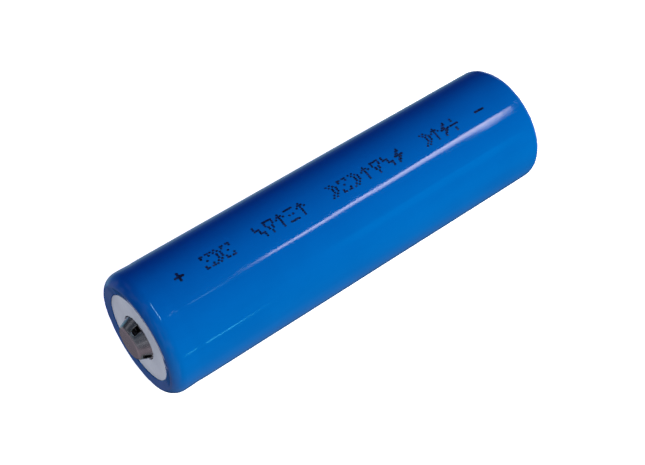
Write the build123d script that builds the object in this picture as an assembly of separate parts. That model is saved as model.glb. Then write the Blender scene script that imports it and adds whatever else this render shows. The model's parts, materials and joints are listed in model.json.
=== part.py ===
from build123d import *
import os
from math import atan2, cos, degrees, hypot, radians, sin, sqrt, tan

# Cylindrical lithium-ion cell with a raised button top, in millimetres.
# Each piece is drawn standing on its flat negative end, with z = 0 at the sleeve's
# lower fold. The finished pieces are then laid along X, the button towards -X,
# with the origin on the axis, midway along the overall length.

# Sleeve
body_radius = 9.15
body_length = 66.3
sleeve_wall = 0.1
top_corner = 2.25
top_corner_sweep = 55
crest_roll = 0.6
dish_angle = 10.8
lip_radius = 6.5
foot_corner = 0.8
foot_opening = 6.6

# Can
can_wall = 0.25
can_base = 0.3
can_crimp = 1.5
crimp_lip_radius = 6.85
bead_below_crest = 4.06
bead_bottom = 1.2
bead_bend = 0.6
bead_edge = 0.35
base_ring_radius = 6.2
base_ring_width = 0.15
base_ring_depth = 0.05

# Header stack: each level is a depth below the sleeve's crest
washer_depth = 0.4
washer_thickness = 0.2
washer_hole = 3.36
washer_rim = 7.6
cap_flange_depth = 1.18
cap_sheet = 0.35
cap_rim = 7.9
button_rise = 1.2
button_foot = 3.55
button_shoulder = 2.45
vent_window_width = 1.0
vent_window_top = -0.72
vent_window_bottom = 0.34
vent_window_count = 4
vent_window_turn = -15
ptc_depth = 1.55
ptc_thickness = 0.25
ptc_hole = 4.2
disc_depth = 1.82
disc_sheet = 0.3
disc_hole = 2.35
dome_radius = 2.3
dome_flat = 0.9
cid_ring_depth = 2.14
cid_ring_thickness = 0.4
cid_ring_hole = 3.0
cid_plate_depth = 2.56
cid_plate_sheet = 0.3
cid_plate_radius = 6.6
cid_hole_count = 6
cid_hole_circle = 4.4
cid_hole_radius = 0.55
gasket_inner = 6.9
gasket_seat = 8.02
gasket_foot_depth = 3.09

# Wound roll, its tabs and its insulators
separator = 0.04
coating = 0.1
cathode_sheet = 0.04
anode_sheet = 0.03
layer_gap = 0.015
roll_start = 2.05
roll_bottom = 1.0
roll_top = 59.4
half_turns = 19
pin_radius = 1.8
pin_wall = 0.25
tape_radius = 8.7
tape_wall = 0.06
tab_sheet = 0.08
tab_width = 3.0
insulator_sheet = 0.2
insulator_gap = 0.2
insulator_radius = 8.1
insulator_hole = 3.3
slack = 0.02

overall_length = body_length + button_rise
can_radius = body_radius - sleeve_wall
can_bore = can_radius - can_wall
base_inside = sleeve_wall + can_base
bead_level = body_length - bead_below_crest

# Rolled crest of the sleeve, and the crimped lip that the washer and the film lie on
corner_center = body_radius - top_corner
corner_level = body_length - crest_roll - (top_corner - crest_roll) * sin(radians(top_corner_sweep))
roll_center = corner_center + (top_corner - crest_roll) * cos(radians(top_corner_sweep))
roll_level = body_length - crest_roll
roll_end = 90 + dish_angle
washer_inset = sleeve_wall + slack
crimp_inset = washer_inset + washer_thickness + slack
crimp_center = can_radius - can_crimp


def level(depth):
    """Height of a level given as a depth below the sleeve's crest."""
    return body_length - depth


def dish_level(radius, inset):
    """Height of the dished end at a radius, some way under the film's outer face."""
    tilt = radians(dish_angle)
    return roll_level + (crest_roll - inset + (radius - roll_center) * sin(tilt)) / cos(tilt)


crimp_level = dish_level(crimp_center, crimp_inset) - can_crimp / cos(radians(dish_angle))


def on_arc(center_r, center_z, radius, angle):
    """Point of an (r, z) arc at an angle, in degrees."""
    turn = radians(angle)
    return (center_r + radius * cos(turn), center_z + radius * sin(turn))


def arc(center_r, center_z, radius, start, end):
    """Arc of an (r, z) outline between two angles, in degrees."""
    return CenterArc((center_r, center_z), radius, start, end - start)


def turned(*edges):
    """Solid of revolution about Z of a closed (r, z) outline."""
    return revolve(Plane.XZ * make_face(Curve() + list(edges)), Axis.Z)


def turned_polygon(*points):
    """Solid of revolution about Z of a closed (r, z) polygon."""
    return turned(Polyline(*points, close=True))


def ring(inner, outer, bottom, top):
    """Flat ring, or a plain disc where the inner radius is 0."""
    blank = Pos(0, 0, bottom) * extrude(Circle(outer), top - bottom)
    if inner == 0:
        return blank
    return blank - Pos(0, 0, bottom) * extrude(Circle(inner), top - bottom)


def lay_down(piece):
    """Turns a standing piece to its place in the cell's frame."""
    return Rot(0, -90, 0) * (Pos(0, 0, -overall_length / 2) * piece)


def make_sleeve():
    """Shrunk film: one wall that folds under the flat end and rolls over into a dished lip."""
    inner_roll = crest_roll - sleeve_wall
    return turned(
        Line((foot_opening, 0), (body_radius - foot_corner, 0)),
        arc(body_radius - foot_corner, foot_corner, foot_corner, -90, 0),
        Line((body_radius, foot_corner), (body_radius, corner_level)),
        arc(corner_center, corner_level, top_corner, 0, top_corner_sweep),
        arc(roll_center, roll_level, crest_roll, top_corner_sweep, roll_end),
        Polyline(
            on_arc(roll_center, roll_level, crest_roll, roll_end),
            (lip_radius, dish_level(lip_radius, 0)),
            (lip_radius, dish_level(lip_radius, sleeve_wall)),
            on_arc(roll_center, roll_level, inner_roll, roll_end),
        ),
        arc(roll_center, roll_level, inner_roll, roll_end, top_corner_sweep),
        arc(corner_center, corner_level, top_corner - sleeve_wall, top_corner_sweep, 0),
        Line((can_radius, corner_level), (can_radius, foot_corner)),
        arc(body_radius - foot_corner, foot_corner, foot_corner - sleeve_wall, 0, -90),
        Line((body_radius - foot_corner, sleeve_wall), (foot_opening, sleeve_wall)),
        Line((foot_opening, sleeve_wall), (foot_opening, 0)),
    )


def bead_arcs(inset):
    """Rolled bead of the can at a depth inside its outer face: edge, groove, edge."""
    edge_center = can_radius - bead_edge
    groove_center = can_radius - bead_bottom + bead_bend
    across = edge_center - groove_center
    along = sqrt((bead_edge + bead_bend) ** 2 - across**2)
    tilt = degrees(atan2(along, across))
    edge_radius = bead_edge - inset
    groove_radius = bead_bend + inset
    return [
        arc(edge_center, bead_level - along, edge_radius, 0, 180 - tilt),
        arc(groove_center, bead_level, groove_radius, -tilt, tilt - 360),
        arc(edge_center, bead_level + along, edge_radius, tilt - 180, 0),
    ], along


def make_can():
    """Drawn can: flat base with a coined ring, straight wall, rolled bead, crimped lip."""
    foot_center = can_radius - foot_corner + sleeve_wall
    inner_crimp = can_crimp - can_wall
    outer_bead, reach = bead_arcs(0)
    inner_bead, reach = bead_arcs(can_wall)
    inner_corner = can_bore - foot_center
    inner_level = base_inside + inner_corner
    ring_floor = sleeve_wall + base_ring_depth
    return turned(
        Polyline(
            (0, sleeve_wall),
            (base_ring_radius, sleeve_wall),
            (base_ring_radius, ring_floor),
            (base_ring_radius + base_ring_width, ring_floor),
            (base_ring_radius + base_ring_width, sleeve_wall),
            (foot_center, sleeve_wall),
        ),
        arc(foot_center, foot_corner, foot_corner - sleeve_wall, -90, 0),
        Line((can_radius, foot_corner), (can_radius, bead_level - reach)),
        *outer_bead,
        Line((can_radius, bead_level + reach), (can_radius, crimp_level)),
        arc(crimp_center, crimp_level, can_crimp, 0, roll_end),
        Polyline(
            on_arc(crimp_center, crimp_level, can_crimp, roll_end),
            (crimp_lip_radius, dish_level(crimp_lip_radius, crimp_inset)),
            (crimp_lip_radius, dish_level(crimp_lip_radius, crimp_inset + can_wall)),
            on_arc(crimp_center, crimp_level, inner_crimp, roll_end),
        ),
        arc(crimp_center, crimp_level, inner_crimp, roll_end, 0),
        Line((can_bore, crimp_level), (can_bore, bead_level + reach)),
        *inner_bead,
        Line((can_bore, bead_level - reach), (can_bore, inner_level)),
        arc(foot_center, inner_level, inner_corner, 0, -90),
        Line((foot_center, base_inside), (0, base_inside)),
        Line((0, base_inside), (0, sleeve_wall)),
    )


def make_top_washer():
    """Thin washer: flat round the button, then up the dished lip under the film."""
    face = level(washer_depth)
    back = face - washer_thickness
    back_inset = washer_inset + washer_thickness
    rise = (face - dish_level(washer_hole, washer_inset)) / tan(radians(dish_angle))
    back_rise = (back - dish_level(washer_hole, back_inset)) / tan(radians(dish_angle))
    return turned_polygon(
        (washer_hole, face),
        (washer_hole + rise, face),
        (washer_rim, dish_level(washer_rim, washer_inset)),
        (washer_rim, dish_level(washer_rim, back_inset)),
        (washer_hole + back_rise, back),
        (washer_hole, back),
    )


def make_positive_cap():
    """Pressed cap: a flat flange and a tapered button with vent windows round its wall."""
    flange = level(cap_flange_depth)
    crown = level(-button_rise)
    rise = crown - flange
    lean = button_foot - button_shoulder
    wall_shift = cap_sheet * hypot(rise, lean) / rise
    inner_foot = button_foot + lean * cap_sheet / rise - wall_shift
    inner_shoulder = button_shoulder + lean * cap_sheet / rise - wall_shift
    cap = turned_polygon(
        (0, crown),
        (button_shoulder, crown),
        (button_foot, flange),
        (cap_rim, flange),
        (cap_rim, flange - cap_sheet),
        (inner_foot, flange - cap_sheet),
        (inner_shoulder, crown - cap_sheet),
        (0, crown - cap_sheet),
    )
    circles = cap.edges().filter_by(GeomType.CIRCLE)
    outer_shoulder = circles.filter_by(lambda e: abs(e.radius - button_shoulder) < 0.01)
    cap = fillet(outer_shoulder, 0.45)
    circles = cap.edges().filter_by(GeomType.CIRCLE)
    inner_corner = circles.filter_by(lambda e: abs(e.radius - inner_shoulder) < 0.01)
    cap = fillet(inner_corner, 0.15)
    circles = cap.edges().filter_by(GeomType.CIRCLE)
    root = circles.filter_by(lambda e: abs(e.radius - button_foot) < 0.01)
    cap = fillet(root, 0.12)
    height = vent_window_bottom - vent_window_top
    middle = level((vent_window_bottom + vent_window_top) / 2)
    for index in range(vent_window_count):
        turn = vent_window_turn + index * 360 / vent_window_count
        window = Rot(0, 0, turn) * Pos(button_foot, 0, middle) * Box(3, vent_window_width, height)
        cap = cap - window
    return cap


def make_vent_dome():
    """Dished centre of the vent disc, down to its weld on the interrupt plate."""
    edge = level(disc_depth)
    floor = level(cid_plate_depth)
    return turned_polygon(
        (0, floor),
        (dome_flat, floor),
        (dome_radius, edge - disc_sheet),
        (dome_radius, edge),
        (dome_flat, floor + disc_sheet),
        (0, floor + disc_sheet),
    )


def make_cid_plate():
    """Flat plate with a circle of gas holes."""
    top = level(cid_plate_depth)
    plate = ring(0, cid_plate_radius, top - cid_plate_sheet, top)
    for index in range(cid_hole_count):
        place = Rot(0, 0, index * 360 / cid_hole_count) * Pos(cid_hole_circle, 0, top)
        plate = plate - place * Cylinder(cid_hole_radius, 3 * cid_plate_sheet)
    return plate


def make_header_gasket():
    """Channel ring that grips the edge of the header stack inside the crimp."""
    outer = can_bore - slack
    corner = can_crimp - can_wall - slack
    inset = crimp_inset + can_wall + slack
    seat = level(cap_flange_depth) + slack
    foot = level(gasket_foot_depth)
    ledge = level(disc_depth + disc_sheet) - slack
    return turned(
        Line(
            (gasket_inner, dish_level(gasket_inner, inset)),
            on_arc(crimp_center, crimp_level, corner, roll_end),
        ),
        arc(crimp_center, crimp_level, corner, roll_end, 0),
        Line((outer, crimp_level), (outer, foot)),
        Line((outer, foot), (gasket_inner, foot)),
        Line((gasket_inner, foot), (gasket_inner, ledge)),
        Line((gasket_inner, ledge), (gasket_seat, ledge)),
        Line((gasket_seat, ledge), (gasket_seat, seat)),
        Line((gasket_seat, seat), (gasket_inner, seat)),
        Line((gasket_inner, seat), (gasket_inner, dish_level(gasket_inner, inset))),
    )


# The layers of one turn, from the inside out: name and thickness.
turn_layers = [
    ("separator_inner", separator),
    ("cathode_coating_inner", coating),
    ("cathode_foil", cathode_sheet),
    ("cathode_coating_outer", coating),
    ("separator_outer", separator),
    ("anode_coating_inner", coating),
    ("anode_foil", anode_sheet),
    ("anode_coating_outer", coating),
]
pitch = sum(sheet for name, sheet in turn_layers) + layer_gap * len(turn_layers)

# First and last half turn of each layer, and how far it stops short of the roll's ends.
layer_spans = {
    "separator": (0, half_turns, 0.0),
    "cathode_foil": (1, half_turns - 2, 0.9),
    "cathode_coating": (2, half_turns - 2, 0.9),
    "anode_foil": (1, half_turns - 1, 0.4),
    "anode_coating": (1, half_turns - 2, 0.4),
}


def layer_offset(layer_name):
    """Radial distance from the winding's start to a layer's inner face."""
    offset = 0.0
    for name, sheet in turn_layers:
        if name == layer_name:
            return offset
        offset += sheet + layer_gap
    raise ValueError(layer_name)


def half_turn_radius(offset, index):
    """Radius of a winding line in a half turn."""
    return roll_start + offset + index * pitch / 2


def half_turn_center(index):
    """Centre of a half turn: every other one is shifted, so that the line climbs."""
    return (pitch / 2 if index % 2 else 0.0, 0.0)


def half_turn_middle(index):
    """Angle of the middle of a half turn."""
    return 270 if index % 2 else 90


def winding(offset, sheet, first, last, bottom, top):
    """Wound strip made of half-circle arcs, from half turn first up to last."""
    edges = []
    for index in range(first, last):
        start = 180 * (index % 2)
        for radius_step in (0.0, sheet):
            radius = half_turn_radius(offset + radius_step, index)
            edges.append(CenterArc(half_turn_center(index), radius, start, 180))
    for index in (first, last):
        side = -1 if index % 2 else 1
        center_x = half_turn_center(index)[0]
        inner = center_x + side * half_turn_radius(offset, index)
        outer = center_x + side * half_turn_radius(offset + sheet, index)
        edges.append(Line((inner, 0), (outer, 0)))
    return Pos(0, 0, bottom) * extrude(make_face(Curve() + edges), top - bottom)


def make_layer(name, sheet):
    """One layer of the roll."""
    span = next(value for key, value in layer_spans.items() if name.startswith(key))
    first, last, margin = span
    return winding(layer_offset(name), sheet, first, last, roll_bottom + margin, roll_top - margin)


def bent_strip(inner_radius, center, turn, bottom, top):
    """Stretch of tab that follows a half turn: an arc section, extruded along Z."""
    reach = degrees(tab_width / 2 / inner_radius)
    outer_radius = inner_radius + tab_sheet
    outline = [
        CenterArc(center, inner_radius, turn - reach, 2 * reach),
        CenterArc(center, outer_radius, turn - reach, 2 * reach),
    ]
    for edge_turn in (turn - reach, turn + reach):
        direction = Vector(1, 0).rotate(Axis.Z, edge_turn)
        middle = Vector(*center)
        outline.append(Line(middle + direction * inner_radius, middle + direction * outer_radius))
    return Pos(0, 0, bottom) * extrude(make_face(Curve() + outline), top - bottom)


def box_between(low, high):
    """Box from its lowest corner to its highest."""
    size = [b - a for a, b in zip(low, high)]
    middle = [(a + b) / 2 for a, b in zip(low, high)]
    return Pos(*middle) * Box(*size)


def make_cathode_tab():
    """Strip welded inside the bare start of the cathode foil, folded up to the plate."""
    index = layer_spans["cathode_foil"][0]
    foil_inner = half_turn_radius(layer_offset("cathode_foil"), index)
    inner_radius = foil_inner - tab_sheet
    center = half_turn_center(index)
    half = tab_width / 2
    x_low, x_high = center[0] - half, center[0] + half
    near, far = -foil_inner, -6.0
    floor = roll_top + 0.6
    ceiling = level(cid_plate_depth + cid_plate_sheet) - slack
    leg = bent_strip(inner_radius, center, half_turn_middle(index), roll_bottom + 8, roll_top + 0.2)
    riser = box_between((x_low, near, roll_top + 0.1), (x_high, near + tab_sheet, floor + tab_sheet))
    lower_leaf = box_between((x_low, far, floor), (x_high, near, floor + tab_sheet))
    fold = box_between((x_low, far, floor), (x_high, far + tab_sheet, ceiling))
    upper_leaf = box_between((x_low, far, ceiling - tab_sheet), (x_high, -1.0, ceiling))
    return leg + riser + lower_leaf + fold + upper_leaf


def make_anode_tab():
    """Strip welded outside the bare end of the anode foil, turned in under the roll."""
    index = layer_spans["anode_foil"][1] - 1
    inner_radius = half_turn_radius(layer_offset("anode_foil") + anode_sheet, index)
    center = half_turn_center(index)
    half = tab_width / 2
    foot = base_inside + slack
    leg = bent_strip(inner_radius, center, half_turn_middle(index), foot, roll_top - 9)
    edge_reach = sqrt(inner_radius**2 - half**2)
    leaf = box_between(
        (center[0] - half, -edge_reach - tab_sheet / 2, foot),
        (center[0] + half, -1.0, foot + tab_sheet),
    )
    return leg + leaf


def make_nodes():
    """Every piece by name, still standing on the negative end."""
    disc_top = level(disc_depth)
    ptc_top = level(ptc_depth)
    cid_ring_top = level(cid_ring_depth)
    top_insulator_level = roll_top + insulator_gap
    low_insulator_level = base_inside + insulator_gap
    nodes = {
        "sleeve": make_sleeve(),
        "top_washer": make_top_washer(),
        "positive_cap": make_positive_cap(),
        "ptc_ring": ring(ptc_hole, cap_rim, ptc_top - ptc_thickness, ptc_top),
        "vent_disc": ring(disc_hole, cap_rim, disc_top - disc_sheet, disc_top),
        "vent_disc_dome": make_vent_dome(),
        "cid_insulator": ring(
            cid_ring_hole, gasket_inner - 0.15, cid_ring_top - cid_ring_thickness, cid_ring_top
        ),
        "cid_plate": make_cid_plate(),
        "header_gasket": make_header_gasket(),
        "can": make_can(),
        "top_insulator": ring(
            insulator_hole, tape_radius, top_insulator_level, top_insulator_level + insulator_sheet
        ),
        "bottom_insulator": ring(
            0, insulator_radius, low_insulator_level, low_insulator_level + insulator_sheet
        ),
        "centre_pin": ring(pin_radius - pin_wall, pin_radius, roll_bottom + 0.5, roll_top - 0.5),
        "winding_tape": ring(tape_radius - tape_wall, tape_radius, roll_bottom + 0.2, roll_top - 0.2),
        "cathode_tab": make_cathode_tab(),
        "anode_tab": make_anode_tab(),
    }
    for name, sheet in turn_layers:
        nodes[name] = make_layer(name, sheet)
    return nodes


os.makedirs("parts", exist_ok=True)
for node_name, piece in make_nodes().items():
    export_step(lay_down(piece), f"parts/{node_name}.step")
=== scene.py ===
import json
import math
import random

import bmesh
import bpy
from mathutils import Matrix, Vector, noise


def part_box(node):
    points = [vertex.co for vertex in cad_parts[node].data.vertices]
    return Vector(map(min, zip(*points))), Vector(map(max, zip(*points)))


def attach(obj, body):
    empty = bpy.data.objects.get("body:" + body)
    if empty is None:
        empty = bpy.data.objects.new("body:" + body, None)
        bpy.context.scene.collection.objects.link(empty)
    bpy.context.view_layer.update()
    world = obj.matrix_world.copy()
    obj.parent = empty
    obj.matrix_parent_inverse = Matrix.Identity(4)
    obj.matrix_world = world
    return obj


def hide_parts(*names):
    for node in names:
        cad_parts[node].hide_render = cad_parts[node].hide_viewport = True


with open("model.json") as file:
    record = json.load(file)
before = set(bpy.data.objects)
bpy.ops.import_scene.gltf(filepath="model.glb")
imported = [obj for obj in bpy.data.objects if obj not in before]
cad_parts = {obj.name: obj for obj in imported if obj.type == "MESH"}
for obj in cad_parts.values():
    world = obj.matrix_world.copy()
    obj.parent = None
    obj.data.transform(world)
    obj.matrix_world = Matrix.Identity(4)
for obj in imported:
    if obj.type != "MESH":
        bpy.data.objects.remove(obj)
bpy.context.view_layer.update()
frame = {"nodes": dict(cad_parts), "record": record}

# A cylindrical cell lying along X: button end at -X, flat end at +X. All lengths in metres.
MM = 0.001
sleeve_low, sleeve_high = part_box("sleeve")
RADIUS = sleeve_high.z
CREST_X = sleeve_low.x
FOOT_X = sleeve_high.x
FLOOR_Z = sleeve_low.z

scene = bpy.context.scene


# ---------------------------------------------------------------- camera

CAMERA_AZIMUTH = math.radians(-38.8)
CAMERA_ELEVATION = math.radians(48.4)
CAMERA_LENS = 68.54
# Where the middle of the button end's crest stands from the camera: right, down, ahead.
CREST_RIGHT = -24.64 * MM
CREST_DOWN = 14.139 * MM
CREST_AHEAD = 162.657 * MM


def make_camera():
    back = Vector((
        math.sin(CAMERA_AZIMUTH) * math.cos(CAMERA_ELEVATION),
        -math.cos(CAMERA_AZIMUTH) * math.cos(CAMERA_ELEVATION),
        math.sin(CAMERA_ELEVATION),
    ))
    right = Vector((0, 0, 1)).cross(back).normalized()
    up = back.cross(right)
    data = bpy.data.cameras.new("camera")
    data.lens = CAMERA_LENS
    data.sensor_width = 36
    data.clip_start = 0.005
    data.clip_end = 20
    camera = bpy.data.objects.new("camera", data)
    crest = Vector((CREST_X, 0, 0))
    camera.location = crest - CREST_RIGHT * right + CREST_DOWN * up + CREST_AHEAD * back
    camera.rotation_mode = "QUATERNION"
    camera.rotation_quaternion = (-back).to_track_quat("-Z", "Y")
    scene.collection.objects.link(camera)
    scene.camera = camera


# ---------------------------------------------------------------- node helpers

def new_material(name):
    material = bpy.data.materials.new(name)
    material.use_nodes = True
    tree = material.node_tree
    shader = tree.nodes["Principled BSDF"]
    return material, tree, shader


def coordinates(tree, scale=(1, 1, 1)):
    """Object coordinates, stretched."""
    source = tree.nodes.new("ShaderNodeTexCoord")
    mapping = tree.nodes.new("ShaderNodeMapping")
    mapping.inputs["Scale"].default_value = scale
    tree.links.new(source.outputs["Object"], mapping.inputs["Vector"])
    return mapping.outputs["Vector"]


def noise_value(tree, vector, scale, detail=4.0, roughness=0.5):
    node = tree.nodes.new("ShaderNodeTexNoise")
    node.inputs["Scale"].default_value = scale
    node.inputs["Detail"].default_value = detail
    node.inputs["Roughness"].default_value = roughness
    tree.links.new(vector, node.inputs["Vector"])
    return node.outputs["Fac"]


def spread(tree, value, low, high, to_low, to_high):
    """Maps a range of a value to another range, clamped."""
    node = tree.nodes.new("ShaderNodeMapRange")
    node.inputs["From Min"].default_value = low
    node.inputs["From Max"].default_value = high
    node.inputs["To Min"].default_value = to_low
    node.inputs["To Max"].default_value = to_high
    tree.links.new(value, node.inputs["Value"])
    return node.outputs["Result"]


def ramp(tree, value, *stops):
    """Colour ramp with (position, colour) stops."""
    node = tree.nodes.new("ShaderNodeValToRGB")
    elements = node.color_ramp.elements
    while len(elements) < len(stops):
        elements.new(0.5)
    for element, (position, colour) in zip(elements, stops):
        element.position = position
        element.color = (*colour, 1)
    tree.links.new(value, node.inputs["Fac"])
    return node.outputs["Color"]


def mix(tree, factor, first, second):
    """Blends two colours, each a tuple or another node's output."""
    node = tree.nodes.new("ShaderNodeMix")
    node.data_type = "RGBA"
    for socket, value in ((0, factor), (6, first), (7, second)):
        if isinstance(value, (int, float)):
            node.inputs[socket].default_value = value
        elif isinstance(value, tuple):
            node.inputs[socket].default_value = (*value, 1)
        else:
            tree.links.new(value, node.inputs[socket])
    return node.outputs[2]


def bump(tree, height, distance):
    node = tree.nodes.new("ShaderNodeBump")
    node.inputs["Distance"].default_value = distance
    node.inputs["Strength"].default_value = 1.0
    tree.links.new(height, node.inputs["Height"])
    return node.outputs["Normal"]


def dress(piece, material):
    piece.data.materials.clear()
    piece.data.materials.append(material)


# ---------------------------------------------------------------- materials

def film_material():
    """Glossy blue heat-shrink film with faint streaks along the cell and fine grain."""
    material, tree, shader = new_material("blue_film")
    along = coordinates(tree, (0.12, 1, 1))
    streak = noise_value(tree, along, 420, 3)
    cloud = noise_value(tree, coordinates(tree), 130, 3)
    base = ramp(tree, cloud, (0.3, (0.0, 0.076, 0.302)), (0.7, (0.0, 0.083, 0.323)))
    base = mix(tree, spread(tree, streak, 0.35, 0.7, 0, 0.35), base, (0.0, 0.092, 0.35))
    tree.links.new(base, shader.inputs["Base Color"])
    rough = noise_value(tree, coordinates(tree), 700, 3)
    tree.links.new(spread(tree, rough, 0.3, 0.7, 0.07, 0.12), shader.inputs["Roughness"])
    shader.inputs["IOR"].default_value = 1.42
    fine = noise_value(tree, coordinates(tree), 2600, 2)
    tree.links.new(bump(tree, fine, 0.0012 * MM), shader.inputs["Normal"])
    return material


def ink_material():
    """Dark navy ink-jet dots, thinner where the jet skipped."""
    material, tree, shader = new_material("navy_ink")
    patch = noise_value(tree, coordinates(tree), 1800, 3)
    colour = ramp(tree, patch, (0.4, (0.001, 0.003, 0.02)), (0.8, (0.002, 0.012, 0.08)))
    tree.links.new(colour, shader.inputs["Base Color"])
    tree.links.new(spread(tree, patch, 0.3, 0.7, 0.3, 0.5), shader.inputs["Roughness"])
    return material


def washer_material():
    """Off-white pressed paper with short fibres."""
    material, tree, shader = new_material("washer_paper")
    fibre = noise_value(tree, coordinates(tree, (1, 1, 0.22)), 2300, 5, 0.65)
    cross = noise_value(tree, coordinates(tree, (1, 0.25, 1)), 1900, 5, 0.65)
    cloud = noise_value(tree, coordinates(tree), 300, 3)
    base = ramp(tree, cloud, (0.3, (0.63, 0.65, 0.74)), (0.7, (0.73, 0.75, 0.84)))
    base = mix(tree, spread(tree, fibre, 0.55, 0.75, 0, 0.4), base, (0.83, 0.83, 0.86))
    base = mix(tree, spread(tree, cross, 0.56, 0.78, 0, 0.3), base, (0.58, 0.58, 0.64))
    tree.links.new(base, shader.inputs["Base Color"])
    shader.inputs["Roughness"].default_value = 0.55
    tree.links.new(bump(tree, fibre, 0.006 * MM), shader.inputs["Normal"])
    return material


def metal_material(name, light, dark, scale, rough, across=(1, 1, 1)):
    """Bare or plated metal: rolled or turned grain, darker blotches and small scratches."""
    material, tree, shader = new_material(name)
    shader.inputs["Metallic"].default_value = 1.0
    grain = noise_value(tree, coordinates(tree, across), scale, 5, 0.6)
    blotch = noise_value(tree, coordinates(tree), scale / 6, 3)
    base = ramp(tree, blotch, (0.3, dark), (0.68, light))
    base = mix(tree, spread(tree, grain, 0.4, 0.75, 0, 0.5), base, dark)
    tree.links.new(base, shader.inputs["Base Color"])
    level = spread(tree, grain, 0.3, 0.75, rough * 0.75, rough * 1.35)
    tree.links.new(level, shader.inputs["Roughness"])
    tree.links.new(bump(tree, grain, 0.002 * MM), shader.inputs["Normal"])
    return material


def plain_material(name, light, dark, scale, rough, depth):
    """Moulded, pressed or coated stuff: mottled colour and a fine texture."""
    material, tree, shader = new_material(name)
    mottle = noise_value(tree, coordinates(tree), scale, 5, 0.6)
    grit = noise_value(tree, coordinates(tree), scale * 5, 3, 0.6)
    base = ramp(tree, mottle, (0.3, dark), (0.7, light))
    base = mix(tree, spread(tree, grit, 0.5, 0.75, 0, 0.35), base, dark)
    tree.links.new(base, shader.inputs["Base Color"])
    tree.links.new(spread(tree, grit, 0.3, 0.7, rough, rough + 0.15), shader.inputs["Roughness"])
    tree.links.new(bump(tree, grit, depth), shader.inputs["Normal"])
    return material


# ---------------------------------------------------------------- sleeve

FILM = 0.1 * MM
TOP_CORNER = 2.25 * MM
CORNER_SWEEP = 55
CREST_ROLL = 0.6 * MM
DISH_ANGLE = 10.8
LIP_RADIUS = 6.5 * MM
FOOT_CORNER = 0.8 * MM
FOOT_OPENING = 6.6 * MM
# Rings of the mesh along the wall, and its points round it
FOOT_STEPS = 12
WALL_STEPS = 126
AROUND = 256
# The film sinks over the can's bead, and gathers at both ends.
BEAD_X = CREST_X + 4.06 * MM
BEAD_WIDTH = 0.75 * MM
BEAD_DIP = 0.05 * MM
WAVE_DEPTH = 0.016 * MM
CREST_GATHER = 3.2 * MM
CREST_GATHER_DEPTH = 0.03 * MM
FOOT_GATHER = 2.4 * MM
FOOT_GATHER_DEPTH = 0.04 * MM
INNER_FACE_SHARE = 0.35


def arc_points(center_x, center_r, radius, start, end, count):
    """Points (x, r) of an arc, without its last one. Angle 0 points outwards, 90 towards -X."""
    points = []
    for step in range(count):
        angle = math.radians(start + (end - start) * step / count)
        points.append((center_x - radius * math.sin(angle), center_r + radius * math.cos(angle)))
    return points


def film_outline():
    """Outer face of the film as (x, r) points, from the flat end's opening to the lip."""
    corner_r = RADIUS - TOP_CORNER
    sweep, tilt = math.radians(CORNER_SWEEP), math.radians(DISH_ANGLE)
    roll_r = corner_r + (TOP_CORNER - CREST_ROLL) * math.cos(sweep)
    roll_x = CREST_X + CREST_ROLL
    foot_ring = RADIUS - FOOT_CORNER
    wall_start = FOOT_X - FOOT_CORNER
    wall_end = roll_x + (TOP_CORNER - CREST_ROLL) * math.sin(sweep)
    points = []
    for step in range(6):
        points.append((FOOT_X, FOOT_OPENING + (foot_ring - FOOT_OPENING) * step / 6))
    points += arc_points(wall_start, foot_ring, FOOT_CORNER, -90, 0, 10)
    for step in range(FOOT_STEPS):
        points.append((wall_start - FOOT_GATHER / FOOT_STEPS * step, RADIUS))
    wall_start -= FOOT_GATHER
    for step in range(WALL_STEPS):
        points.append((wall_start + (wall_end - wall_start) * step / WALL_STEPS, RADIUS))
    points += arc_points(wall_end, corner_r, TOP_CORNER, 0, CORNER_SWEEP, 16)
    points += arc_points(roll_x, roll_r, CREST_ROLL, CORNER_SWEEP, 90 + DISH_ANGLE, 9)
    dish_x = roll_x - CREST_ROLL * math.cos(tilt)
    dish_r = roll_r - CREST_ROLL * math.sin(tilt)
    for step in range(7):
        r = dish_r + (LIP_RADIUS - dish_r) * step / 6
        points.append((dish_x + (dish_r - r) * math.tan(tilt), r))
    return points


def film_dent(x, angle):
    """How far the film sinks: slow waves, the bead under it, and gathers at both ends."""
    here = Vector((x * 70, math.cos(angle) * 1.6, math.sin(angle) * 1.6))
    wave = noise.noise(here) + 0.4 * noise.noise(here * 2.3 + Vector((7, 3, 1)))
    dent = WAVE_DEPTH * (wave + 1.2)
    dent += BEAD_DIP * math.exp(-(((x - BEAD_X) / BEAD_WIDTH) ** 2))
    gather = max(0.0, 1 - (x - CREST_X) / CREST_GATHER)
    ripple = noise.noise(Vector((math.cos(angle) * 6, math.sin(angle) * 6, x * 150)))
    dent += CREST_GATHER_DEPTH * gather * (ripple + 0.6)
    foot = max(0.0, 1 - (FOOT_X - x) / FOOT_GATHER)
    ripple = noise.noise(Vector((math.cos(angle) * 9, math.sin(angle) * 9, x * 150 + 40)))
    dent += FOOT_GATHER_DEPTH * foot * (ripple + 0.6)
    return max(0.0, dent)


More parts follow.
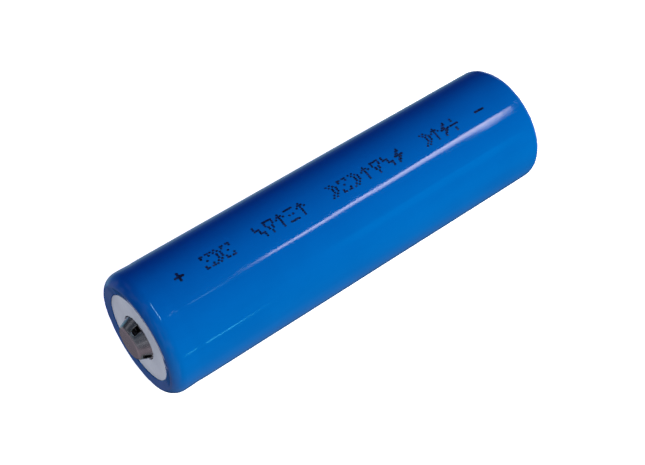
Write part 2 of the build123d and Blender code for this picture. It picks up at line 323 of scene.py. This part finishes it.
def make_sleeve():
    """Closed shell of film: the outer face's rings, then the inner face's, going back."""
    outer = film_outline()
    ring_count = len(outer)
    mesh = bmesh.new()
    rings = []
    normals = []
    for index, (x, r) in enumerate(outer):
        before = outer[max(0, index - 1)]
        after = outer[min(ring_count - 1, index + 1)]
        along = Vector((after[0] - before[0], after[1] - before[1]))
        along.normalize()
        normals.append(Vector((along.y, -along.x)))
    for depth in (0.0, FILM):
        order = range(ring_count) if depth == 0.0 else reversed(range(ring_count))
        for index in order:
            x, r = outer[index]
            share = 1.0 if depth == 0.0 else INNER_FACE_SHARE
            ring = []
            for step in range(AROUND):
                angle = 2 * math.pi * step / AROUND
                sink = film_dent(x, angle) * share + depth
                place_x = x - normals[index].x * sink
                place_r = r - normals[index].y * sink
                ring.append(mesh.verts.new((
                    place_x, place_r * math.cos(angle), place_r * math.sin(angle)
                )))
            rings.append(ring)
    for index in range(len(rings)):
        ring, following = rings[index], rings[(index + 1) % len(rings)]
        for step in range(AROUND):
            after = (step + 1) % AROUND
            mesh.faces.new((ring[step], ring[after], following[after], following[step]))
    bmesh.ops.recalc_face_normals(mesh, faces=mesh.faces)
    return finish_mesh(mesh, "sleeve_film")


def finish_mesh(mesh, name):
    """Turns a bmesh into a smooth-shaded object in the scene."""
    data = bpy.data.meshes.new(name)
    mesh.to_mesh(data)
    mesh.free()
    for polygon in data.polygons:
        polygon.use_smooth = True
    piece = bpy.data.objects.new(name, data)
    scene.collection.objects.link(piece)
    return piece


# ---------------------------------------------------------------- print

PRINT_HEIGHT = 2.3 * MM
PRINT_START = math.radians(98.6)
PRINT_SLANT = math.radians(7.1) / (52.1 * MM)
PLUS_X = -25.75 * MM
MINUS_X = 26.35 * MM
DOT_ROWS = 7
COLUMN_PITCH = 0.3 * MM
PLUS_PITCH = 0.28 * MM
MINUS_PITCH = 0.36 * MM
SIGN_DOT = 0.17 * MM
PLUS_DOT = 0.2 * MM
MINUS_DOT = 0.21 * MM
INK_LIFT = 0.008 * MM


def film_point(x, angle, lift):
    r = RADIUS - film_dent(x, angle) + lift
    return (x, r * math.cos(angle), r * math.sin(angle))


def print_point(along, up):
    """Point of the film at a distance along the print line and above its middle."""
    angle = PRINT_START + PRINT_SLANT * (along - PLUS_X) - up / RADIUS
    return film_point(along, angle, INK_LIFT)


def add_dot(mesh, along, up, radius, stretch):
    sides = 8
    corners = []
    for step in range(sides):
        turn = 2 * math.pi * step / sides
        corners.append(mesh.verts.new(print_point(
            along + radius * stretch * math.cos(turn), up + radius * math.sin(turn)
        )))
    mesh.faces.new(corners)


PLUS_MARK = ("..#..", "..#..", "#####", "..#..", "..#..")
MINUS_MARK = ("#####",)
# Abstract signs, none of them a letter or a figure.
SIGNS = (
    ("#.#..", ".#.#.", "..#.#", "..#.#", "..#.#", ".#.#.", "#.#.."),
    ("#....", "#....", "###..", "..#..", "..###", "....#", "....#"),
    ("##.##", "#...#", ".....", "..#..", ".....", "#...#", "##.##"),
    ("...#.", "..##.", ".##..", "#####", "..##.", ".##..", ".#..."),
    ("#####", ".....", ".....", ".#.#.", ".....", ".....", "#####"),
    ("..#..", ".###.", "#.#.#", "..#..", "..#..", "..#..", "..#.."),
    ("#####", "#...#", "#...#", ".#.#.", ".#.#.", "..#..", "..#.."),
    ("..#..", "..#..", ".....", "#####", ".....", "..#..", "..#.."),
)
# Where each group of signs starts and ends along the cell, in mm, and how many it holds.
SIGN_GROUPS = ((-22.1, -17.3, 3), (-13.8, -5.1, 5), (-1.5, 12.0, 7), (15.5, 22.3, 4))


def add_sign(mesh, draws, sign, middle, column_pitch, row_pitch, dot):
    """One sign of a dot-matrix printer: touching dots, a little out of place."""
    for row, line in enumerate(sign):
        for column, cell in enumerate(line):
            if cell == "#":
                along = middle + (column - 2) * column_pitch + draws.gauss(0, 0.012 * MM)
                up = ((len(sign) - 1) / 2 - row) * row_pitch + draws.gauss(0, 0.018 * MM)
                add_dot(mesh, along, up, dot * draws.uniform(0.95, 1.1), 1.12)


def make_print():
    """Polarity marks at both ends of a line of abstract signs."""
    draws = random.Random(7)
    mesh = bmesh.new()
    row_pitch = PRINT_HEIGHT / DOT_ROWS
    add_sign(mesh, draws, PLUS_MARK, PLUS_X, PLUS_PITCH, PLUS_PITCH, PLUS_DOT)
    add_sign(mesh, draws, MINUS_MARK, MINUS_X, MINUS_PITCH, row_pitch, MINUS_DOT)
    last = None
    for low, high, count in SIGN_GROUPS:
        step = (high - low) * MM / count
        for index in range(count):
            sign = draws.choice([choice for choice in SIGNS if choice != last])
            last = sign
            middle = low * MM + (index + 0.5) * step
            add_sign(mesh, draws, sign, middle, COLUMN_PITCH, row_pitch, SIGN_DOT)
    bmesh.ops.recalc_face_normals(mesh, faces=mesh.faces)
    return finish_mesh(mesh, "print_marks")


# ---------------------------------------------------------------- stage and light

def toward(azimuth, elevation, distance):
    """Point in a direction from the cell. Azimuth 0 is the front, 90 is +X."""
    a, e = math.radians(azimuth), math.radians(elevation)
    return Vector((math.sin(a) * math.cos(e), -math.cos(a) * math.cos(e), math.sin(e))) * distance


def add_light(name, azimuth, elevation, distance, size, watts, colour, glossy):
    """Area lamp turned to the cell, mirrored by the film only where glossy is true."""
    data = bpy.data.lights.new(name, "AREA")
    data.shape = "RECTANGLE"
    data.size, data.size_y = size
    data.energy = watts
    data.color = colour
    data.cycles.use_multiple_importance_sampling = glossy
    lamp = bpy.data.objects.new(name, data)
    lamp.location = toward(azimuth, elevation, distance)
    lamp.rotation_mode = "QUATERNION"
    lamp.rotation_quaternion = (-lamp.location).to_track_quat("-Z", "Y")
    lamp.visible_glossy = glossy
    scene.collection.objects.link(lamp)
    return lamp


def make_floor():
    """Pale studio floor that the cell lies on, with a pale dome far behind it."""
    material, tree, shader = new_material("pale_floor")
    cloud = noise_value(tree, coordinates(tree), 3, 2)
    tree.links.new(
        ramp(tree, cloud, (0.3, (0.86, 0.86, 0.86)), (0.7, (0.9, 0.9, 0.9))),
        shader.inputs["Base Color"],
    )
    shader.inputs["Roughness"].default_value = 0.9
    shader.inputs["Emission Color"].default_value = (1, 1, 1, 1)
    shader.inputs["Emission Strength"].default_value = 0.95
    bpy.ops.mesh.primitive_circle_add(vertices=96, radius=1.4, fill_type="NGON")
    floor = bpy.context.object
    floor.name = "floor"
    floor.location.z = FLOOR_Z
    dress(floor, material)
    for flag in ("visible_glossy", "visible_diffuse", "visible_shadow"):
        setattr(floor, flag, False)
    bpy.ops.mesh.primitive_uv_sphere_add(segments=64, ring_count=32, radius=1.38)
    dome = bpy.context.object
    dome.name = "dome"
    glow, tree, shader = new_material("pale_dome")
    shader.inputs["Base Color"].default_value = (0, 0, 0, 1)
    shader.inputs["Specular IOR Level"].default_value = 0
    shader.inputs["Emission Color"].default_value = (0.97, 0.98, 1, 1)
    shader.inputs["Emission Strength"].default_value = 1.0
    dress(dome, glow)
    for flag in ("visible_glossy", "visible_diffuse", "visible_shadow", "visible_transmission"):
        setattr(dome, flag, False)


def make_world():
    """Dim room: dull below the horizon, dark above, patchy at the left, pale at the right."""
    world = bpy.data.worlds.new("room")
    world.use_nodes = True
    tree = world.node_tree
    background = tree.nodes["Background"]
    source = tree.nodes.new("ShaderNodeTexCoord")
    direction = source.outputs["Generated"]
    split = tree.nodes.new("ShaderNodeSeparateXYZ")
    tree.links.new(direction, split.inputs["Vector"])
    height = spread(tree, split.outputs["Z"], -1, 1, 0, 1)
    front = ramp(
        tree, height, (0.0, (0.13, 0.15, 0.16)), (0.12, (0.03, 0.04, 0.05)),
        (0.3, (0.008, 0.012, 0.018)), (1.0, (0.01, 0.012, 0.02)),
    )
    behind = ramp(
        tree, height, (0.0, (0.02, 0.025, 0.04)), (0.14, (0.03, 0.04, 0.06)),
        (0.2, (0.22, 0.37, 0.44)), (0.28, (0.22, 0.38, 0.46)), (0.375, (0.06, 0.15, 0.24)),
        (0.465, (0.03, 0.04, 0.05)), (0.5, (0.01, 0.012, 0.02)),
    )
    right = mix(tree, spread(tree, split.outputs["Y"], 0.05, 0.5, 0, 1), front, behind)
    patches = noise_value(tree, direction, 3.4, 3)
    left = ramp(
        tree, height, (0.0, (0.26, 0.22, 0.25)), (0.3, (0.26, 0.23, 0.26)),
        (0.5, (0.24, 0.25, 0.28)), (1.0, (0.22, 0.24, 0.27)),
    )
    dark = mix(
        tree, spread(tree, height, 0.3, 0.5, 0, 1), (0.2, 0.17, 0.2), (0.012, 0.018, 0.03)
    )
    left = mix(tree, spread(tree, patches, 0.44, 0.52, 0, 0.95), left, dark)
    right = mix(
        tree, spread(tree, split.outputs["X"], 0.7, 0.85, 0, 1), right, (0.32, 0.4, 0.48)
    )
    side = spread(tree, split.outputs["X"], -0.36, -0.14, 0, 1)
    tree.links.new(mix(tree, side, left, right), background.inputs["Color"])
    background.inputs["Strength"].default_value = 1.0
    scene.world = world


# Panels that the film mirrors: their distance, and how bright the lower edge is to the upper.
PANEL_DISTANCE = 1.0
LOWER_EDGE_SHARE = 0.35
# The line of light on the film, in degrees round the cell: its upper edge, which drifts from
# one end to the other, and its width, which flares near the flat end.
LINE_START, LINE_END = -15 * MM, 30.6 * MM
LINE_ANGLE, LINE_DRIFT = 120.2, -2.6
LINE_WIDTHS = ((LINE_START, 1.6), (23.5 * MM, 4.0), (26.2 * MM, 8.0), (LINE_END, 4.3))
# Other streaks: name, start and end along the cell in mm, upper and lower edge in degrees,
# colour and strength.
STREAKS = (
    ("soft_band", -5, 31, 143, 150, (0.0, 0.5, 1.0), 1.6),
    ("thin_strip", -26.5, -23, 122.2, 122.8, (0.35, 0.8, 1.0), 9),
    ("low_strip", -29.5, -20, 157.8, 158.3, (0.1, 0.85, 1.0), 20),
)


def between(value, points):
    """Value on a line through (place, height) points."""
    for (low, first), (high, second) in zip(points, points[1:]):
        if value <= high:
            return first + (second - first) * (value - low) / (high - low)
    return points[-1][1]


def mirror_spot(x, angle, tilt=0):
    """Where a panel stands for the camera to see it mirrored at a place on the film.

    Angles are in degrees. The tilt leans the film's face towards the flat end.
    """
    angle, tilt = math.radians(angle), math.radians(tilt)
    outward = Vector((0, math.cos(angle), math.sin(angle)))
    face = outward * math.cos(tilt) + Vector((math.sin(tilt), 0, 0))
    place = outward * RADIUS + Vector((x, 0, 0))
    sight = (place - scene.camera.location).normalized()
    mirrored = sight - 2 * sight.dot(face) * face
    near = place.dot(mirrored)
    reach = math.sqrt(near ** 2 - place.length_squared + PANEL_DISTANCE ** 2) - near
    return place + mirrored * reach


def steps(first, last, count=16):
    """Evenly spaced values from the first to the last."""
    return [first + (last - first) * index / count for index in range(count + 1)]


def line_edges():
    """Pairs of panel points whose reflections make the line of light."""
    pairs = []
    for x in steps(LINE_START, LINE_END, 48):
        upper = LINE_ANGLE + LINE_DRIFT * (x - LINE_START) / (LINE_END - LINE_START)
        pairs.append((mirror_spot(x, upper), mirror_spot(x, upper + between(x, LINE_WIDTHS))))
    return pairs


def streak_edges(start, end, upper, lower):
    """Pairs of panel points whose reflections make a straight streak along the cell."""
    return [(mirror_spot(x, upper), mirror_spot(x, lower)) for x in steps(start, end)]


def end_edges():
    """Pairs of panel points mirrored where the film leans towards the flat end."""
    x = FOOT_X - 2 * MM
    return [(mirror_spot(x, angle, 4), mirror_spot(x, angle, 15)) for angle in steps(52, 90)]


def glow_material(name, colour, strength):
    """Light that fades from the upper edge of a panel to its lower edge."""
    material = bpy.data.materials.new(name)
    material.use_nodes = True
    tree = material.node_tree
    tree.nodes.clear()
    output = tree.nodes.new("ShaderNodeOutputMaterial")
    emission = tree.nodes.new("ShaderNodeEmission")
    emission.inputs["Color"].default_value = (*colour, 1)
    fade = tree.nodes.new("ShaderNodeAttribute")
    fade.attribute_name = "fade"
    tree.links.new(
        spread(tree, fade.outputs["Fac"], 0, 1, strength * LOWER_EDGE_SHARE, strength),
        emission.inputs["Strength"],
    )
    tree.links.new(emission.outputs["Emission"], output.inputs["Surface"])
    return material


def make_panel(name, edges, material):
    """Glowing strip seen only in mirror reflections."""
    mesh = bmesh.new()
    fade = mesh.verts.layers.float.new("fade")
    pairs = []
    for upper_place, lower_place in edges:
        upper, lower = mesh.verts.new(upper_place), mesh.verts.new(lower_place)
        upper[fade], lower[fade] = 1.0, 0.0
        pairs.append((upper, lower))
    for (a, b), (c, d) in zip(pairs, pairs[1:]):
        mesh.faces.new((a, c, d, b))
    panel = finish_mesh(mesh, name)
    dress(panel, material)
    for flag in ("camera", "diffuse", "shadow", "transmission"):
        setattr(panel, "visible_" + flag, False)


def make_lights():
    add_light("front_key", 25, 22, 0.9, (0.6, 0.35), 14, (1.0, 1.0, 0.86), False)
    add_light("low_key", 25, -38, 0.9, (0.6, 0.6), 5.6, (1.0, 1.0, 0.95), False)
    add_light("top_fill", 150, 78, 1.0, (0.6, 0.6), 4.2, (0.4, 0.25, 1.0), False)
    add_light("end_fill", -85, 12, 0.9, (0.5, 0.5), 3.0, (0.86, 0.95, 1.0), False)
    add_light("back_low", 180, -40, 0.9, (0.6, 0.6), 10, (1.0, 1.0, 0.95), False)
    make_panel("window", line_edges(), glow_material("window", (1.0, 0.9, 0.97), 17))
    for name, start, end, upper, lower, colour, strength in STREAKS:
        edges = streak_edges(start * MM, end * MM, upper, lower)
        make_panel(name, edges, glow_material(name, colour, strength))
    make_panel("end_panel", end_edges(), glow_material("end_glow", (0.7, 0.9, 1.0), 2.2))
    # The tube lies level under the ceiling and shines straight down.
    tube = add_light("ceiling_tube", -14, 76, 1.0, (0.02, 0.6), 2.0, (0.4, 0.8, 1.0), True)
    tube.visible_diffuse = False
    tube.location = (-0.06, -0.24, 1.0)
    tube.rotation_quaternion = (1, 0, 0, 0)


def make_cut_edge_highlights(cap):
    """Breaks the cap's sharp edges: narrow facets of bare metal where the sheet is pierced and
    trimmed, coloured pale cream as a painted highlight.
    """
    # Painted highlight: every bevelled edge of the cap gets a pale cream colour, lighter than the
    # steel.
    cut_highlight = plain_material("cut_edge_highlight", (0.9, 0.84, 0.68), (0.7, 0.62, 0.48), 3000, 0.4, 0.003 * MM)
    cap.data.materials.append(cut_highlight)
    weld = cap.modifiers.new("weld", "WELD")
    weld.merge_threshold = 0.002 * MM
    bevel = cap.modifiers.new("cut_edge_highlights", "BEVEL")
    bevel.width = 0.06 * MM
    bevel.segments = 2
    bevel.limit_method = "ANGLE"
    bevel.angle_limit = math.radians(55)
    bevel.material = 1


# ---------------------------------------------------------------- build

make_camera()
make_world()
make_lights()
make_floor()

sleeve = make_sleeve()
dress(sleeve, film_material())
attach(sleeve, "cell")
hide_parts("sleeve")

marks = make_print()
dress(marks, ink_material())
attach(marks, "cell")

# Grain drawn out along the cell, as on rolled foil
ROLLED = (0.15, 1, 1)
steel = metal_material("nickel_steel", (0.8, 0.77, 0.79), (0.58, 0.55, 0.57), 900, 0.24)
bright = metal_material(
    "rolled_aluminium", (0.8, 0.8, 0.81), (0.62, 0.62, 0.64), 1200, 0.3, ROLLED
)
copper = metal_material(
    "copper_foil", (0.78, 0.42, 0.26), (0.6, 0.3, 0.18), 1200, 0.3, ROLLED
)
NODE_MATERIALS = {
    "can_steel": steel,
    "cap_steel": steel,
    "nickel_strip": steel,
    "vent_aluminium": bright,
    "aluminium_foil": bright,
    "copper_foil": copper,
    "washer_paper": washer_material(),
}
# Slot, material, light and dark colour, scale, roughness and depth of the texture in mm
PLAIN_MATERIALS = (
    ("gasket_plastic", "gasket", (0.13, 0.14, 0.16), (0.08, 0.09, 0.1), 900, 0.4, 0.004),
    ("ptc_polymer", "ptc", (0.06, 0.06, 0.06), (0.03, 0.03, 0.03), 1500, 0.5, 0.004),
    ("insulator_plastic", "insulator", (0.7, 0.68, 0.6), (0.6, 0.58, 0.5), 700, 0.45, 0.004),
    ("cathode_mass", "cathode", (0.05, 0.05, 0.055), (0.025, 0.025, 0.03), 2500, 0.8, 0.01),
    ("graphite_mass", "graphite", (0.1, 0.1, 0.105), (0.05, 0.05, 0.055), 2500, 0.7, 0.01),
    ("separator_film", "separator", (0.86, 0.86, 0.84), (0.78, 0.78, 0.76), 1500, 0.5, 0.003),
    ("winding_tape", "tape", (0.08, 0.4, 0.22), (0.05, 0.3, 0.16), 800, 0.25, 0.002),
)
for slot, name, light, dark, scale, rough, depth in PLAIN_MATERIALS:
    NODE_MATERIALS[slot] = plain_material(name, light, dark, scale, rough, depth * MM)
for part in frame["record"]["subparts"]:
    if part["node"] != "sleeve":
        dress(frame["nodes"][part["node"]], NODE_MATERIALS[part["material_slot"]])

# Painted highlight along the cap's sharp edges.
make_cut_edge_highlights(frame["nodes"]["positive_cap"])

scene.view_settings.view_transform = "Standard"
